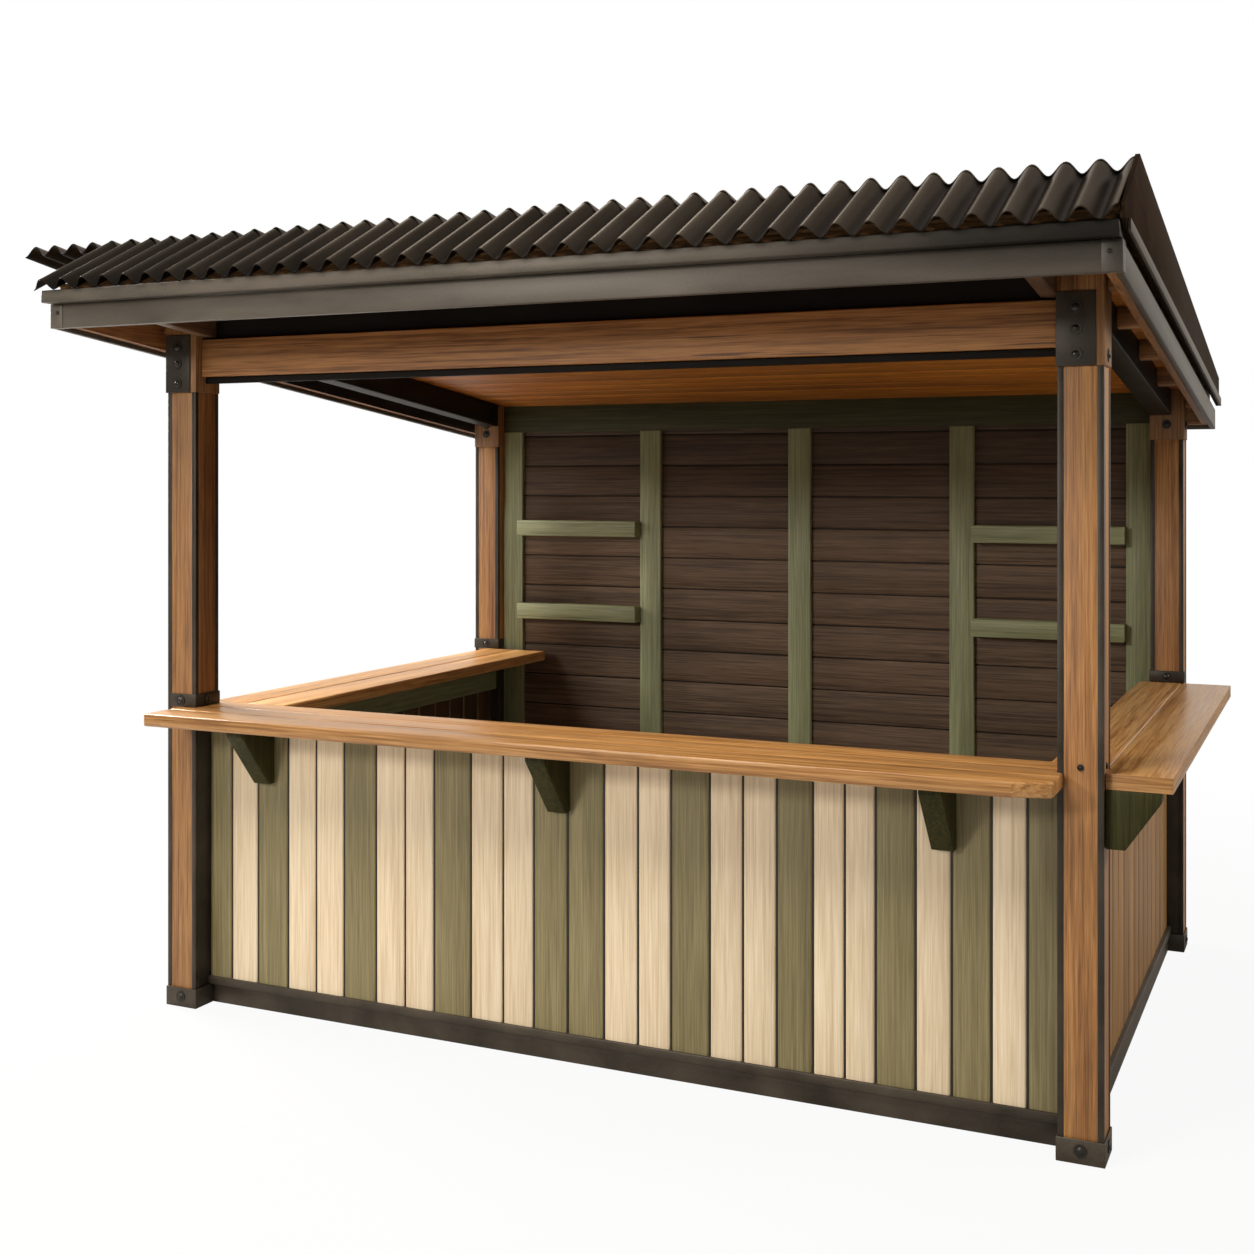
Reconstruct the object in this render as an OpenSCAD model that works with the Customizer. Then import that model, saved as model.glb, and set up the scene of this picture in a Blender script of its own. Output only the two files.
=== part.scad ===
// Market stall with four steel-edged timber posts, a counter on three sides,
// boarded panels below it, a full back wall and a corrugated two-slope roof.
// Working coordinates: x along the front, y from the front face of the front posts
// to the back, z up from the ground. The finished part is centred over its footprint.

/* [Frame] */
// Distance between post centres along the front
span_x = 3000; // [2400:10:3600]
// Distance between post centres from front to back
span_y = 2100; // [1700:10:2600]
// Outer size of a post with its corner angles
post_size = 120; // [110:1:150]
// Leg of a steel corner angle
angle_leg = 16; // [12:1:24]
// Thickness of a steel corner angle
angle_t = 2; // [1.5:0.5:3]
// Height of a steel shoe
shoe_h = 65; // [50:1:80]
// Plate thickness of a steel shoe
shoe_t = 4; // [3:1:6]
// Height of a front head block at its back edge
head_h = 261; // [230:1:300]
// Height of a back head block at its back edge
back_head_h = 181; // [160:1:240]
// How far a head block stands proud of its post
head_proud = 3; // [2:1:8]
// Width of a head plate
head_plate_w = 104; // [80:1:115]
// Thickness of a head plate
head_plate_t = 5; // [3:1:8]
// Height of a head plate
head_plate_h = 197; // [170:1:225]
// Height of the front beam
beam_h = 128; // [100:1:150]
// Depth of the front beam
beam_d = 70; // [50:1:80]
// Thickness of the dark infill on the front beam
infill_t = 25; // [15:1:40]
// Height of the dark strip under the front beam
under_strip_h = 22; // [12:1:30]
// Width of a side beam
side_beam_w = 80; // [60:1:100]
// Height of a side beam
side_beam_h = 100; // [70:1:120]

/* [Base] */
// Height of a base rail
rail_h = 68; // [60:1:90]
// Thickness of a base rail
rail_t = 25; // [18:1:35]
// Height of the drip strip on a base rail
drip_h = 27; // [15:1:40]
// How far a drip strip stands in front of its panel
drip_out = 9; // [5:1:15]
// How much further a side drip strip stands out
side_drip = 6; // [0:1:10]
// Setback of the front rail from its panel and drip strip
rail_set = 3; // [2:1:8]
// How far a side rail stands out from its panel
rail_out = 5; // [2:1:8]

/* [Panels] */
// Thickness of the boarded panels
panel_t = 22; // [16:1:28]
// Depth of the front panel behind the post faces
front_recess = 75; // [50:1:80]
// Depth of a side panel behind the post faces
side_recess = 60; // [40:1:70]
// Height of the ledger under a side counter
ledger_h = 143; // [100:1:180]
// Thickness of the ledger under a side counter
ledger_t = 30; // [20:1:30]

/* [Counter] */
// Height of the counter top above the ground
counter_z = 1030; // [900:5:1150]
// Thickness of the counter
counter_t = 42; // [30:1:60]
// Reach of the front counter ahead of the posts
counter_out = 190; // [140:1:260]
// Inner edge of the front counter behind the post faces
counter_in = 160; // [140:1:240]
// Setback of the left counter edge from the post face
left_set = 60; // [30:1:80]
// Width of the left counter
left_w = 306; // [240:1:420]
// Reach of the right counter beyond the post face
right_over = 170; // [120:1:240]
// Width of the right counter
right_w = 334; // [300:1:420]
// Setback of the right counter's front end
right_set = 30; // [10:1:80]
// Length of the clipped corner along the front edge
clip_l = 105; // [60:1:160]
// Depth of the clipped corner
clip_d = 35; // [20:1:60]
// Height of a post collar
collar_h = 44; // [30:1:60]
// Plate thickness of a post collar
collar_t = 4; // [3:1:6]
// Gap between a back collar and the wall batten
collar_gap = 5; // [3:1:15]
// Thickness of a counter bracket
bracket_w = 65; // [40:1:80]
// Height of a counter bracket
bracket_h = 208; // [160:1:260]
// Reach of a counter bracket
bracket_l = 175; // [150:1:190]
// Blunt end of a counter bracket
bracket_tip = 28; // [18:1:40]
// Outer front brackets in from the post centres
bracket_set = 340; // [260:10:480]
// Offset of the front brackets to the left of the middle
bracket_off = 38; // [0:1:60]
// How much further left the middle front bracket stands
middle_off = 40; // [0:1:80]
// Height of the bracket under the right counter
side_bracket_h = 157; // [120:1:220]
// Reach of the bracket under the right counter
side_bracket_l = 140; // [100:1:160]
// Foot of the bracket under the right counter
side_bracket_foot = 50; // [30:1:60]

/* [Back wall] */
// Depth of the wall battens behind the post faces
batten_set = 55; // [45:1:60]
// Width of a wall batten
batten_w = 100; // [70:1:120]
// Thickness of a wall batten
batten_t = 25; // [15:1:28]
// Height of the wall's top rail
top_rail_h = 118; // [90:1:150]
// Height of a ledge
ledge_h = 70; // [50:1:80]
// Depth of a ledge from the wall boards
ledge_d = 80; // [60:1:120]
// Top of the lower ledge above the ground
ledge_low = 1245; // [1150:5:1300]
// Top of the upper ledge above the ground
ledge_high = 1625; // [1500:5:1700]

/* [Roof] */
// Underside of the front fascia above the ground
eave_z = 2295; // [2280:1:2500]
// Fall of the roof frame to the back in degrees
roof_fall = 6.1; // [5:0.1:6.5]
// Front fascia ahead of the post faces
front_over = 434; // [350:1:600]
// Side fascia beyond the post faces
side_over = 102; // [90:1:200]
// Back fascia beyond the post faces
back_over = 54; // [52:1:120]
// Height of the fascia
fascia_h = 78; // [60:1:90]
// Thickness of the fascia
fascia_t = 18; // [12:1:24]
// Width of a fascia corner cap
cap_w = 48; // [30:1:70]
// Thickness of a fascia corner cap
cap_t = 2; // [1:0.5:4]
// Height of the eave strip
strip_h = 40; // [30:1:60]
// Reach of the eave strip ahead of the fascia
strip_out = 46; // [30:1:60]
// Thickness of the rim boards inside the fascia
rim_t = 30; // [20:1:30]
// Underside of the rim boards above the fascia edge
rim_up = 15; // [2:1:20]
// Underside of the rafters above the fascia edge
rafter_up = 50; // [40:1:60]
// Height of a rafter
rafter_h = 82; // [60:1:84]
// Width of a rafter
rafter_w = 46; // [36:1:60]
// Height of a lookout
lookout_h = 62; // [40:1:75]
// Width of a lookout
lookout_w = 40; // [30:1:60]
// Number of lookouts on a side
lookouts = 5; // [3:1:7]
// Thickness of the ceiling deck
deck_t = 16; // [12:1:18]

/* [Sheets] */
// Pitch of the short front slope in degrees
front_pitch = 27.5; // [25:0.5:30]
// Back slope above the ceiling deck at the back rim
back_seat = 17.7; // [14:0.1:30]
// Ridge behind the front of the eave strip
ridge_back = 300; // [280:1:330]
// Depth of the corrugation
wave_d = 37; // [24:1:40]
// Number of full waves across the front sheet
waves = 39; // [30:1:46]
// Number of waves the back sheet runs on to the left
extra_waves = 4; // [1:1:5]
// Thickness of a sheet
sheet_t = 3; // [2:0.5:4]
// Clearance between a sheet and what it passes
sheet_gap = 3; // [2:0.5:5]
// Reach of the front sheet ahead of the eave strip
sheet_out = 10; // [5:1:30]
// Reach of the back sheet ahead of the ridge
ridge_lap = 30; // [15:1:45]
// Reach of the back sheet behind the fascia
sheet_tail = 26; // [10:1:60]
// Reach of the front sheet beyond the left fascia
sheet_side = 18; // [5:1:40]
// Width of the battens that carry the sheets
firring_w = 60; // [40:1:80]
// Width of the batten behind the eave strip
eave_batten_w = 48; // [36:1:60]
// Reach of the eave batten beyond the left posts
eave_batten_out = 40; // [20:1:60]
// Thickness of the right barge board
barge_t = 12; // [8:1:20]
// Rise of the barge board over the crests
barge_up = 2; // [1:1:8]
// Setback of the barge board from the front of the roof
barge_set = 4; // [2:1:10]
// Reach of the barge board's top ahead of the ridge
barge_nose = 15; // [10:1:25]
// Height of the barge board's front end over the troughs
barge_toe = 30; // [20:1:40]
// Gap between the side fascia and the lip
lip_gap = 17; // [10:1:25]
// Height of the lip along the barge board
lip_h = 30; // [20:1:40]
// Thickness of the lip along the barge board
lip_t = 8; // [4:1:12]

/* [Part] */
// Sub-part to draw

/* [Hidden] */

// Post grid
half_x = span_x / 2;
row_f = post_size / 2;
row_b = row_f + span_y;
timber = post_size - 2 * angle_t;
half_p = post_size / 2;
half_t = timber / 2;
half_s = half_p + shoe_t;
half_h = half_p + head_proud;
side_beam_x = half_x - half_h;
out_x = half_x + half_p;
in_x = half_x - half_t;
back_face = row_b + half_p;

// Roof planes
face_y = -front_over;
back_y = back_face + back_over;
roof_x = out_x + side_over;
frame_x = roof_x - fascia_t;
deck_lo = rafter_up + rafter_h;
deck_hi = deck_lo + deck_t;
strip_y = face_y - strip_out;
strip_lo = eave_z + fascia_h;
strip_hi = strip_lo + strip_h;
ridge_y = strip_y + ridge_back;
ridge_z = strip_hi + sheet_gap + tan(front_pitch) * ridge_back;
tail_y = back_y + sheet_tail;
rim_f = face_y + fascia_t;
rim_b = back_y - fascia_t;
back_pitch = atan((ridge_z - fall(rim_b) - deck_hi - back_seat) / (rim_b - ridge_y));

// Corrugation
steps = 10;
wave_p = (2 * roof_x + sheet_side) / (waves + 0.5);
step_x = wave_p / steps;
crest = wave_d * cos(180 / steps) + sheet_t;
left_x = roof_x - (waves + extra_waves + 0.5) * wave_p;

// Heights that follow the roof
head_z = fall(post_size) + deck_lo - head_h;
back_head_z = fall(back_face) + deck_lo - back_head_h;
beam_top = fall(row_f + beam_d / 2) + rafter_up;
panel_z = rail_h + drip_h;
under_z = counter_z - counter_t;
batten_y = row_b - half_p + batten_set;
wall_y = batten_y + batten_t;
batten_step = (2 * in_x - batten_w) / 4;
top_rail_z = fall(wall_y) + deck_lo - top_rail_h;
lip_lo = fascia_h + lip_gap;
bracket_step = half_x - bracket_set;

// Footprint centre
right_x = max(out_x + right_over, roof_x + barge_t + lip_t);
low_y = strip_y - sheet_out - crest * sin(front_pitch);
high_y = max(tail_y + crest * sin(back_pitch), row_b + half_s);
mid_x = (left_x + right_x) / 2;
mid_y = (low_y + high_y) / 2;

function fall(y) = eave_z - tan(roof_fall) * (y - face_y);
function front_z(y) = ridge_z + tan(front_pitch) * (y - ridge_y);
function back_z(y) = ridge_z - tan(back_pitch) * (y - ridge_y);
function band(y0, y1, lo, hi) =
    [[y0, fall(y0) + lo], [y1, fall(y1) + lo], [y1, fall(y1) + hi], [y0, fall(y0) + hi]];
function wave(i) = wave_d / 2 * (cos(180 / steps) - cos(360 * (i + 0.5) / steps));
function wave_line(n, up) = concat(
    [[0, wave(0) + up]],
    [for (i = [0:n - 1]) [(i + 0.5) * step_x, wave(i) + up]],
    [[n * step_x, wave(n - 1) + up]]);
function turned(list) = [for (i = [len(list) - 1:-1:0]) list[i]];

module placed() {
    translate([-mid_x, -mid_y, 0]) children();
}

module slab(x0, x1, y0, y1, z0, z1) {
    translate([x0, y0, z0]) cube([x1 - x0, y1 - y0, z1 - z0]);
}

module along_x(x0, x1, points) {
    translate([x0, 0, 0]) rotate([90, 0, 90]) linear_extrude(x1 - x0) polygon(points);
}

module along_y(y0, y1, points) {
    translate([0, y1, 0]) rotate([90, 0, 0]) linear_extrude(y1 - y0) polygon(points);
}

module along_z(z0, z1, points) {
    translate([0, 0, z0]) linear_extrude(z1 - z0) polygon(points);
}

module each_side() {
    children();
    mirror([1, 0, 0]) children();
}

module post(x, y, top) {
    placed() slab(x - half_t, x + half_t, y - half_t, y + half_t, shoe_t, top);
}

module angle_bar(x, y, sx, sy, top) {
    along_z(shoe_t, top, [
        [x + sx * half_p, y + sy * half_p],
        [x + sx * (half_p - angle_leg), y + sy * half_p],
        [x + sx * (half_p - angle_leg), y + sy * half_t],
        [x + sx * half_t, y + sy * half_t],
        [x + sx * half_t, y + sy * (half_p - angle_leg)],
        [x + sx * half_p, y + sy * (half_p - angle_leg)]]);
}

module shoe(x, y) {
    difference() {
        slab(x - half_s, x + half_s, y - half_s, y + half_s, 0, shoe_h);
        slab(x - half_p, x + half_p, y - half_p, y + half_p, shoe_t, shoe_h + 1);
    }
}

module head_block(x, y, low) {
    y0 = y - half_h;
    y1 = y + half_h;
    along_x(x - half_h, x + half_h,
        [[y0, low], [y1, low], [y1, fall(y1) + deck_lo], [y0, fall(y0) + deck_lo]]);
}

// Timber posts

module post_front_left() {
    color("peru") post(-half_x, row_f, head_z);
}

module post_front_right() {
    color("peru") post(half_x, row_f, head_z);
}

module post_back_left() {
    color("peru") post(-half_x, row_b, back_head_z);
}

module post_back_right() {
    color("peru") post(half_x, row_b, back_head_z);
}

// Steel on the posts

module corner_angles() {
    color("dimgray") placed() each_side() for (sx = [-1, 1], sy = [-1, 1]) {
        angle_bar(half_x, row_f, sx, sy, head_z);
        angle_bar(half_x, row_b, sx, sy, back_head_z);
    }
}

module shoes() {
    color("dimgray") placed() each_side() {
        shoe(half_x, row_f);
        shoe(half_x, row_b);
    }
}

module head_blocks() {
    color("saddlebrown") placed() each_side() {
        head_block(half_x, row_f, head_z);
        head_block(half_x, row_b, back_head_z);
    }
}

module head_plates() {
    color("dimgray") placed() for (x = [-half_x - half_h, half_x - half_h])
        slab(x, x + head_plate_w, -head_proud - head_plate_t, -head_proud,
            head_z, head_z + head_plate_h);
}

module post_collars() {
    top = counter_z + collar_h;
    inner = half_x - half_p;
    back0 = row_b - half_p;
    back1 = batten_y - collar_gap;
    color("dimgray") placed() {
        along_z(counter_z, top, [
            [angle_leg - out_x, 0], [angle_leg - out_x, -collar_t], [-inner + collar_t, -collar_t],
            [-inner + collar_t, post_size + collar_t], [angle_leg - out_x, post_size + collar_t],
            [angle_leg - out_x, post_size], [-inner, post_size], [-inner, 0]]);
        each_side() along_z(counter_z, top, [
            [inner - collar_t, back0 - collar_t], [out_x + collar_t, back0 - collar_t],
            [out_x + collar_t, back0 + half_p], [out_x, back0 + half_p], [out_x, back0],
            [inner, back0], [inner, back1], [inner - collar_t, back1]]);
    }
}

// Beams

module front_beam() {
    color("peru") placed() slab(-half_x + half_h, half_x - half_h,
        row_f - beam_d / 2, row_f + beam_d / 2, beam_top - beam_h, beam_top);
}

module beam_infill() {
    x1 = half_x - half_h;
    x0 = x1 - rafter_w;
    y0 = row_f - infill_t / 2;
    y1 = row_f + infill_t / 2;
    low = beam_top - beam_h;
    color("dimgray") placed() {
        along_x(-x0, x0,
            [[y0, beam_top], [y1, beam_top], [y1, fall(y1) + deck_lo], [y0, fall(y0) + deck_lo]]);
        slab(-x1, x1, y0, y1, low - under_strip_h, low);
    }
}

module side_beams() {
    color("dimgray") placed() each_side()
        along_x(side_beam_x, side_beam_x + side_beam_w,
            band(row_f + half_h, row_b - half_h, deck_lo - side_beam_h, deck_lo));
}

// Base

module base_rails() {
    f0 = front_recess + drip_out + rail_set;
    s1 = out_x - side_recess + rail_out;
    color("dimgray") placed() {
        slab(-half_x + half_s, half_x - half_s, f0, f0 + rail_t, 0, rail_h);
        slab(-half_x + half_s, half_x - half_s, wall_y, wall_y + rail_t, 0, rail_h);
        each_side() slab(s1 - rail_t, s1, row_f + half_s, row_b - half_s, 0, rail_h);
    }
}

module drip_strips() {
    s1 = out_x - side_recess;
    color("dimgray") placed() {
        slab(-in_x, in_x, front_recess - drip_out, front_recess + panel_t, rail_h, panel_z);
        slab(-in_x, in_x, batten_y - rail_out, wall_y + panel_t, rail_h, panel_z);
        each_side() slab(s1 - panel_t, s1 + drip_out + side_drip,
            row_f + half_t, row_b - half_t, rail_h, panel_z);
    }
}

// Panels below the counter

module front_panel() {
    color("beige") placed() slab(-in_x, in_x, front_recess, front_recess + panel_t, panel_z, under_z);
}

module side_panel() {
    s1 = out_x - side_recess;
    slab(s1 - panel_t, s1, row_f + half_t, row_b - half_t, panel_z, under_z);
}

module left_panel() {
    color("sienna") placed() mirror([1, 0, 0]) side_panel();
}

module right_panel() {
    color("sienna") placed() side_panel();
}

module side_ledgers() {
    s1 = out_x - side_recess - panel_t;
    color("darkolivegreen") placed() each_side()
        slab(s1 - ledger_t, s1, post_size, row_b - half_p, under_z - ledger_h, under_z);
}

// Counter

module front_counter() {
    x0 = left_set - out_x;
    post_x = half_x - half_p;
    end_x = post_x + angle_leg;
    color("burlywood") placed() difference() {
        along_z(under_z, counter_z, [
            [x0, -counter_out], [end_x - clip_l, -counter_out], [end_x, clip_d - counter_out],
            [end_x, 0], [post_x, 0], [post_x, counter_in], [x0, counter_in]]);
        slab(-out_x, -post_x, 0, post_size, under_z - 1, counter_z + 1);
    }
}

module left_counter() {
    x0 = left_set - out_x;
    color("burlywood") placed()
        slab(x0, x0 + left_w, counter_in, row_b - half_p, under_z, counter_z);
}

module right_counter() {
    x1 = out_x + right_over;
    x0 = x1 - right_w;
    post_x = half_x - half_p;
    color("burlywood") placed() along_z(under_z, counter_z, [
        [x0, counter_in], [post_x, counter_in], [post_x, post_size], [out_x, post_size],
        [out_x, right_set], [x1, right_set], [x1, row_b - half_p], [x0, row_b - half_p]]);
}

function bracket_shape(at, reach, drop, foot) = [
    [at, under_z], [at + reach, under_z], [at + reach, under_z - bracket_tip],
    [at + foot, under_z - drop], [at, under_z - drop]];

module front_brackets() {
    side = bracket_shape(0, bracket_l, bracket_h, bracket_tip);
    shape = [for (p = side) [front_recess - p[0], p[1]]];
    places = [-bracket_step, -middle_off, bracket_step];
    color("darkolivegreen") placed() for (x = places)
        along_x(x - bracket_off - bracket_w / 2, x - bracket_off + bracket_w / 2, shape);
}

module right_bracket() {
    color("darkolivegreen") placed() along_y(row_f - bracket_w / 2, row_f + bracket_w / 2,
        bracket_shape(out_x, side_bracket_l, side_bracket_h, side_bracket_foot));
}

// Back wall

module back_wall() {
    y1 = wall_y + panel_t;
    color("saddlebrown") placed() along_x(-in_x, in_x,
        [[wall_y, panel_z], [y1, panel_z], [y1, fall(y1) + deck_lo], [wall_y, fall(wall_y) + deck_lo]]);
}

module wall_battens() {
    color("darkolivegreen") placed() for (i = [-2:2])
        slab(i * batten_step - batten_w / 2, i * batten_step + batten_w / 2,
            batten_y, wall_y, panel_z, top_rail_z);
}

module wall_top_rail() {
    color("darkolivegreen") placed() along_x(-in_x, in_x,
        [[batten_y, top_rail_z], [wall_y, top_rail_z],
        [wall_y, fall(wall_y) + deck_lo], [batten_y, fall(batten_y) + deck_lo]]);
}

module wall_ledges() {
    x0 = batten_step + batten_w / 2;
    x1 = 2 * batten_step - batten_w / 2;
    color("darkolivegreen") placed() each_side() for (z = [ledge_low, ledge_high])
        slab(x0, x1, wall_y - ledge_d, wall_y, z - ledge_h, z);
}

// Roof frame

module rafters() {
    x1 = half_x - half_h;
    color("peru") placed() each_side()
        along_x(x1 - rafter_w, x1, band(rim_f + rim_t, row_f + beam_d / 2, rafter_up, deck_lo));
}

module lookouts() {
    pace = (row_b - row_f) / (lookouts - 1);
    color("peru") placed() each_side() for (i = [0:lookouts - 1]) {
        at_head = i == 0 || i == lookouts - 1;
        y = row_f + i * pace;
        along_x(at_head ? half_x + half_h : side_beam_x + side_beam_w, frame_x - rim_t,
            band(y - lookout_w / 2, y + lookout_w / 2, deck_lo - lookout_h, deck_lo));
    }
}

module cross_rims() {
    color("peru") placed() {
        along_x(-frame_x, frame_x, band(rim_f, rim_f + rim_t, rim_up, deck_lo));
        along_x(-frame_x, frame_x, band(rim_b - rim_t, rim_b, rim_up, deck_lo));
    }
}

module side_rims() {
    color("peru") placed() each_side()
        along_x(frame_x - rim_t, frame_x, band(rim_f + rim_t, rim_b - rim_t, rim_up, deck_lo));
}

module ceiling_deck() {
    color("peru") placed() along_x(-frame_x, frame_x, band(rim_f, rim_b, deck_lo, deck_hi));
}

module front_fascia() {
    color("dimgray") placed() along_x(-roof_x, roof_x, band(face_y, rim_f, 0, fascia_h));
}

module side_fascias() {
    color("dimgray") placed() each_side()
        along_x(frame_x, roof_x, band(rim_f, rim_b, 0, fascia_h));
}

module back_fascia() {
    color("dimgray") placed() along_x(-roof_x, roof_x, band(rim_b, back_y, 0, fascia_h));
}

module fascia_corners() {
    color("dimgray") placed() each_side() along_z(eave_z, strip_lo, [
        [roof_x - cap_w, face_y], [roof_x - cap_w, face_y - cap_t],
        [roof_x + cap_t, face_y - cap_t], [roof_x + cap_t, face_y + cap_w],
        [roof_x, face_y + cap_w], [roof_x, face_y]]);
}

module eave_strip() {
    color("dimgray") placed() along_x(-roof_x, roof_x, [
        [strip_y, strip_lo], [face_y, strip_lo], [rim_f, fall(rim_f) + fascia_h],
        [rim_f, strip_hi], [strip_y, strip_hi]]);
}

// Battens under the sheets

module eave_batten() {
    y1 = rim_f + eave_batten_w;
    color("peru") placed() along_x(-out_x - eave_batten_out, roof_x, [
        [rim_f, fall(rim_f) + deck_hi], [y1, fall(y1) + deck_hi],
        [y1, front_z(y1)], [rim_f, front_z(rim_f)]]);
}

module ridge_board() {
    y0 = ridge_y - firring_w / 2;
    y1 = ridge_y + firring_w / 2;
    color("peru") placed() along_x(barge_t - frame_x, roof_x, [
        [y0, fall(y0) + deck_hi], [y1, fall(y1) + deck_hi],
        [y1, back_z(y1)], [ridge_y, ridge_z], [y0, front_z(y0)]]);
}

module firring(y0) {
    y1 = y0 + firring_w;
    along_x(barge_t - frame_x, roof_x, [
        [y0, fall(y0) + deck_hi], [y1, fall(y1) + deck_hi], [y1, back_z(y1)], [y0, back_z(y0)]]);
}

module firrings() {
    color("peru") placed() {
        firring((ridge_y + rim_b) / 2);
        firring(rim_b - firring_w);
    }
}

// Roof covering

module sheet(x, y, z, tilt, length, n) {
    translate([x, y, z]) rotate([90 + tilt, 0, 0]) linear_extrude(length)
        polygon(concat(wave_line(n, 0), turned(wave_line(n, sheet_t))));
}

module front_sheet() {
    top = sheet_gap + 1;
    reach = (ridge_back + sheet_out) / cos(front_pitch) - top;
    color("darkslategray") placed() sheet(roof_x - (waves + 0.5) * wave_p,
        ridge_y - top * cos(front_pitch), ridge_z - top * sin(front_pitch),
        front_pitch, reach, (waves + 0.5) * steps);
}

module back_sheet() {
    reach = (tail_y - ridge_y) / cos(back_pitch) + ridge_lap;
    color("darkslategray") placed() sheet(left_x, tail_y, back_z(tail_y),
        -back_pitch, reach, (waves + extra_waves + 0.5) * steps);
}

module right_barge() {
    rise = crest / cos(back_pitch) + barge_up;
    nose_y = ridge_y - barge_nose;
    y0 = strip_y + barge_set;
    y1 = face_y + barge_set;
    color("dimgray") placed() along_x(roof_x, roof_x + barge_t, [
        [y1, fall(y1) + lip_lo], [tail_y, fall(tail_y) + lip_lo], [tail_y, back_z(tail_y) + rise],
        [nose_y, back_z(nose_y) + rise], [y0, front_z(y0) + barge_toe], [y0, strip_hi + barge_up]]);
}

module barge_lip() {
    y1 = face_y + barge_set;
    color("dimgray") placed() along_x(roof_x + barge_t, roof_x + barge_t + lip_t,
        band(y1, tail_y, lip_lo, lip_lo + lip_h));
}

module left_gable() {
    y0 = ridge_y - firring_w / 2;
    color("dimgray") placed() along_x(-frame_x, barge_t - frame_x, [
        [y0, fall(y0) + deck_hi], [rim_b, fall(rim_b) + deck_hi],
        [rim_b, back_z(rim_b)], [ridge_y, ridge_z], [y0, front_z(y0)]]);
}

post_front_left();
post_front_right();
post_back_left();
post_back_right();
corner_angles();
shoes();
head_blocks();
head_plates();
post_collars();
front_beam();
beam_infill();
side_beams();
base_rails();
drip_strips();
front_panel();
left_panel();
right_panel();
side_ledgers();
front_counter();
left_counter();
right_counter();
front_brackets();
right_bracket();
back_wall();
wall_battens();
wall_top_rail();
wall_ledges();
rafters();
lookouts();
cross_rims();
side_rims();
ceiling_deck();
front_fascia();
side_fascias();
back_fascia();
fascia_corners();
eave_strip();
eave_batten();
ridge_board();
firrings();
front_sheet();
back_sheet();
right_barge();
barge_lip();
left_gable();
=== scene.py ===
import math
import random

import bmesh
import bpy
from mathutils import Matrix, Vector


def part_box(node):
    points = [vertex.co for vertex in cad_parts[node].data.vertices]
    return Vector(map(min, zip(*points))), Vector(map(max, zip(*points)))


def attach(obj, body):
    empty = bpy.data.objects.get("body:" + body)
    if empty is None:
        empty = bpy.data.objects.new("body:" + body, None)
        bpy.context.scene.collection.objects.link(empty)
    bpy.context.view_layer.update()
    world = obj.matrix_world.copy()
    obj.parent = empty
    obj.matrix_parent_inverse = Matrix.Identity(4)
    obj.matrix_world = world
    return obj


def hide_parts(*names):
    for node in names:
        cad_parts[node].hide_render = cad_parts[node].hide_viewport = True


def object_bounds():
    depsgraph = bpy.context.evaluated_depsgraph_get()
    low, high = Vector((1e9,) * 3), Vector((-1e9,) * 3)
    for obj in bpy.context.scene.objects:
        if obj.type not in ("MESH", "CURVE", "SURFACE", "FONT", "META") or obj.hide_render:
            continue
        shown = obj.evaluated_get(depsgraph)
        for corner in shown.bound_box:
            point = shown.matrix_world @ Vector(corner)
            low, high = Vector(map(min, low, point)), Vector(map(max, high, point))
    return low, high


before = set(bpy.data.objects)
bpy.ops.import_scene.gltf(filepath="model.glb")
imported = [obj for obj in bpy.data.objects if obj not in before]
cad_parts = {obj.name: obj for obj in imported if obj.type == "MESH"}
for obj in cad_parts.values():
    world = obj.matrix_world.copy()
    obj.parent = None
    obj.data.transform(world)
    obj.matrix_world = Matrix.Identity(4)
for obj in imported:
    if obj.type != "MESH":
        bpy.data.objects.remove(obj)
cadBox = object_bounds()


class Wire:
    # one output of a node tree; arithmetic on it adds Math nodes
    def __init__(self, tree, socket=None):
        self.tree = tree
        self.socket = socket

    def plug(self, socket, value):
        if isinstance(value, Wire):
            self.tree.links.new(value.socket, socket)
        else:
            socket.default_value = value

    def node(self, kind, settings=None, inputs=None, out=0):
        made = self.tree.nodes.new(kind)
        for key, value in (settings or {}).items():
            if key == "stops":
                setStops(made.color_ramp, value)
            else:
                setattr(made, key, value)
        for key, value in (inputs or {}).items():
            for part in value if isinstance(value, list) else [value]:
                self.plug(findSocket(made.inputs, key), part)
        return Wire(self.tree, findSocket(made.outputs, out))

    def math(self, operation, first, second=0.0):
        return self.node("ShaderNodeMath", {"operation": operation}, {0: first, 1: second})

    def __add__(self, other):
        return self.math("ADD", self, other)

    def __sub__(self, other):
        return self.math("SUBTRACT", self, other)

    def __rsub__(self, other):
        return self.math("SUBTRACT", other, self)

    def __mul__(self, other):
        return self.math("MULTIPLY", self, other)

    def __truediv__(self, other):
        return self.math("DIVIDE", self, other)

    __radd__ = __add__
    __rmul__ = __mul__


def findSocket(sockets, key):
    if isinstance(key, int):
        return sockets[key]
    for socket in sockets:
        if socket.identifier == key:
            return socket
    return next(s for s in sockets if s.name == key and s.enabled)


def setStops(ramp, stops):
    while len(ramp.elements) < len(stops):
        ramp.elements.new(0.5)
    for element, (place, colour) in zip(ramp.elements, stops):
        element.position = place
        element.color = (*colour, 1.0)


def newMaterial(name):
    material = bpy.data.materials.new(name)
    material.use_nodes = True
    tree = material.node_tree
    tree.nodes.clear()
    output = tree.nodes.new("ShaderNodeOutputMaterial")
    shader = tree.nodes.new("ShaderNodeBsdfPrincipled")
    tree.links.new(shader.outputs[0], output.inputs[0])
    return material, Wire(tree), shader


def feed(wire, shader, **values):
    for key, value in values.items():
        wire.plug(findSocket(shader.inputs, key.replace("_", " ")), value)


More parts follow.
